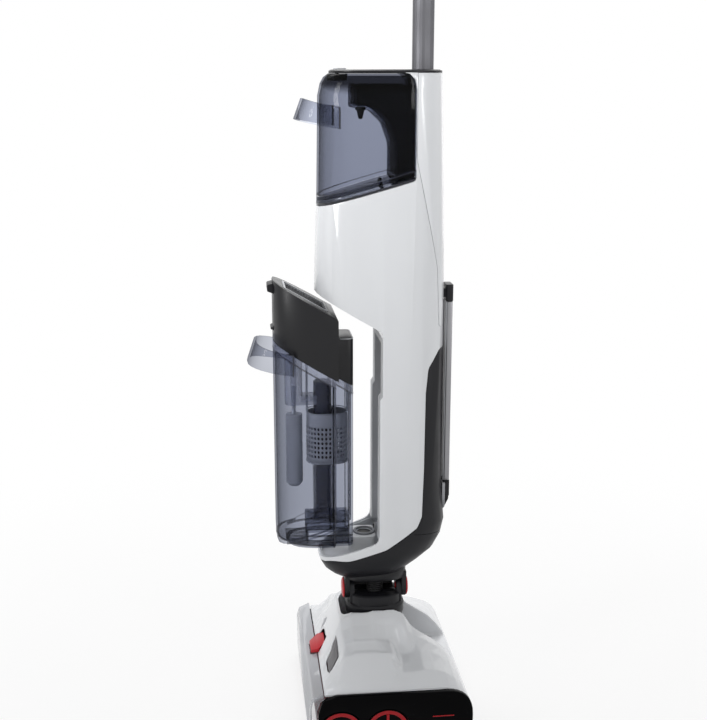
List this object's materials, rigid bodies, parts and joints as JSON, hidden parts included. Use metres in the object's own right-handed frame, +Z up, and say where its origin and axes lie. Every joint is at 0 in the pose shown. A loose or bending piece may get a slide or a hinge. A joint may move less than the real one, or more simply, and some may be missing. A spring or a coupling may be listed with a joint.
{
  "type": "wet dry floor scrubber",
  "caption": "Upright cordless floor scrubber: two-roller head on a jointed neck, lift-out dirty-water tank, clean-water tank at the top and an angled grip.",
  "frame": {"origin": "on the floor, under the middle of the whole outline's box (its middle in X and Y)", "axes": "+Z up the upright body; -Y is the front, where the tanks come out; +X is the user's left, the side the rollers draw out of"},
  "size_m": [0.26, 0.3357, 1.1123],
  "materials": {
    "white_shell": "glossy white",
    "black_panel": "satin black",
    "grey_liner": "satin grey",
    "charcoal_plastic": "satin charcoal",
    "black_gloss": "gloss black",
    "light_grey": "satin light grey",
    "red_accent": "satin red",
    "smoky_tank": "smoky clear",
    "clear_guard": "clear",
    "strainer_grey": "satin mid grey",
    "seal_rubber": "matt black",
    "hose_rubber": "matt black",
    "tube_metal": "satin anodised",
    "rail_metal": "satin anodised",
    "motor_metal": "plain",
    "board_green": "solder mask",
    "brush_pile": "soft pile",
    "filter_media": "pleated sheet"
  },
  "bodies": {
    "head": {"head_cover": "white_shell", "head_chassis": "charcoal_plastic", "end_panel_left": "black_gloss", "end_panel_right": "black_gloss", "spray_window": "smoky_tank", "scraper_blade": "seal_rubber", "brush_motor": "motor_metal"},
    "left_wheel": {"wheel_left": "seal_rubber"},
    "right_wheel": {"wheel_right": "seal_rubber"},
    "front_cap": {"front_roller_cap": "black_gloss"},
    "rear_cap": {"rear_roller_cap": "black_gloss"},
    "front_brush": {"front_roller": "brush_pile"},
    "rear_brush": {"rear_roller": "brush_pile"},
    "guard": {"front_guard": "clear_guard"},
    "guard_catch": {"guard_latch": "red_accent"},
    "neck": {"neck_drum": "black_panel", "neck_hose": "hose_rubber"},
    "body": {"front_housing": "white_shell", "rear_cover": "white_shell", "back_panel": "black_panel", "bay_liner": "grey_liner", "bay_tray": "grey_liner", "port_seal": "seal_rubber", "dock_bulkhead": "black_panel", "top_cover": "black_panel", "display_lens": "black_gloss", "tube_socket": "charcoal_plastic", "upper_tube": "tube_metal", "neck_collar": "charcoal_plastic", "pivot_pin_front": "red_accent", "pivot_pin_rear": "red_accent", "dirty_water_hose": "hose_rubber", "rear_rail": "rail_metal", "rail_cap_top": "black_panel", "rail_cap_bottom": "black_panel", "rail_cradle": "light_grey", "suction_motor": "motor_metal", "battery_pack": "black_panel", "water_pump": "charcoal_plastic", "control_board": "board_green", "bay_catch": "light_grey", "handle_left": "charcoal_plastic", "handle_right": "charcoal_plastic"},
    "clean_tank_unit": {"clean_tank": "smoky_tank", "clean_tank_base": "smoky_tank", "clean_tank_handle": "smoky_tank"},
    "fill_cap_body": {"fill_cap": "charcoal_plastic"},
    "release_pad": {"tank_release_button": "light_grey"},
    "dirty_tank_unit": {"dirty_tank": "smoky_tank", "dirty_tank_handle": "smoky_tank", "inlet_duct": "charcoal_plastic", "strainer_basket": "strainer_grey", "float_guide": "charcoal_plastic"},
    "lid_unit": {"dirty_tank_lid": "charcoal_plastic", "filter_frame": "light_grey", "air_filter": "filter_media"},
    "lid_catch": {"lid_latch": "black_panel"},
    "float_body": {"float": "strainer_grey"},
    "power_key": {"power_button": "light_grey"},
    "self_clean_key": {"self_clean_button": "light_grey"}
  },
  "joints": [
    {"name": "neck_tilt", "type": "hinge", "parent": "head", "child": "neck", "pos_m": [0, -0.0083, 0.094], "axis": [-1, 0, 0], "range_deg": [0, 65]},
    {"name": "neck_twist", "type": "hinge", "parent": "neck", "child": "body", "pos_m": [0, -0.0083, 0.159], "axis": [0, 1, 0], "range_deg": [-30, 30]},
    {"name": "left_wheel_spin", "type": "hinge", "parent": "head", "child": "left_wheel", "pos_m": [0.062, 0.0727, 0.017], "axis": [1, 0, 0], "continuous": true},
    {"name": "right_wheel_spin", "type": "hinge", "parent": "head", "child": "right_wheel", "pos_m": [-0.062, 0.0727, 0.017], "axis": [1, 0, 0], "continuous": true},
    {"name": "front_roller_draw", "type": "slide", "parent": "head", "child": "front_cap", "axis": [1, 0, 0], "range_m": [0, 0.26]},
    {"name": "rear_roller_draw", "type": "slide", "parent": "head", "child": "rear_cap", "axis": [1, 0, 0], "range_m": [0, 0.26]},
    {"name": "front_roller_spin", "type": "hinge", "parent": "front_cap", "child": "front_brush", "pos_m": [0, -0.0653, 0.0276], "axis": [1, 0, 0], "continuous": true},
    {"name": "rear_roller_spin", "type": "hinge", "parent": "rear_cap", "child": "rear_brush", "pos_m": [0, -0.0073, 0.0276], "axis": [1, 0, 0], "continuous": true},
    {"name": "guard_pull", "type": "slide", "parent": "head", "child": "guard", "axis": [0, -1, 0], "range_m": [0, 0.05]},
    {"name": "guard_catch_press", "type": "slide", "parent": "head", "child": "guard_catch", "axis": [0, 0, -1], "range_m": [0, 0.0015], "stiffness_N_per_m": 600, "springref_m": -0.001},
    {"name": "dirty_tank_draw", "type": "slide", "parent": "body", "child": "dirty_tank_unit", "axis": [0, -0.9397, 0.342], "range_m": [-0.056, 0.12]},
    {"name": "lid_lift", "type": "slide", "parent": "dirty_tank_unit", "child": "lid_unit", "axis": [0, -0.7071, 0.7071], "range_m": [0, 0.09]},
    {"name": "lid_catch_press", "type": "slide", "parent": "lid_unit", "child": "lid_catch", "axis": [0, 1, 0], "range_m": [0, 0.002], "stiffness_N_per_m": 500, "springref_m": -0.001},
    {"name": "float_rise", "type": "slide", "parent": "dirty_tank_unit", "child": "float_body", "axis": [0, 0, 1], "range_m": [0, 0.01]},
    {"name": "clean_tank_draw", "type": "slide", "parent": "body", "child": "clean_tank_unit", "axis": [0, -1, 0], "range_m": [0, 0.12]},
    {"name": "fill_cap_turn", "type": "hinge", "parent": "clean_tank_unit", "child": "fill_cap_body", "pos_m": [0, -0.0553, 0.806], "axis": [0, 0, 1], "range_deg": [0, 90]},
    {"name": "release_pad_press", "type": "slide", "parent": "body", "child": "release_pad", "axis": [0, 0, -1], "range_m": [0, 0.0012], "stiffness_N_per_m": 500, "springref_m": -0.001},
    {"name": "power_press", "type": "slide", "parent": "body", "child": "power_key", "axis": [0, 0.6157, -0.788], "range_m": [0, 0.0015], "stiffness_N_per_m": 500, "springref_m": -0.001},
    {"name": "self_clean_press", "type": "slide", "parent": "body", "child": "self_clean_key", "axis": [0, 0.6157, -0.788], "range_m": [0, 0.0015], "stiffness_N_per_m": 500, "springref_m": -0.001}
  ],
  "couplings": [
    {"joint": "rear_roller_spin", "follows": "front_roller_spin", "ratio": 1}
  ]
}
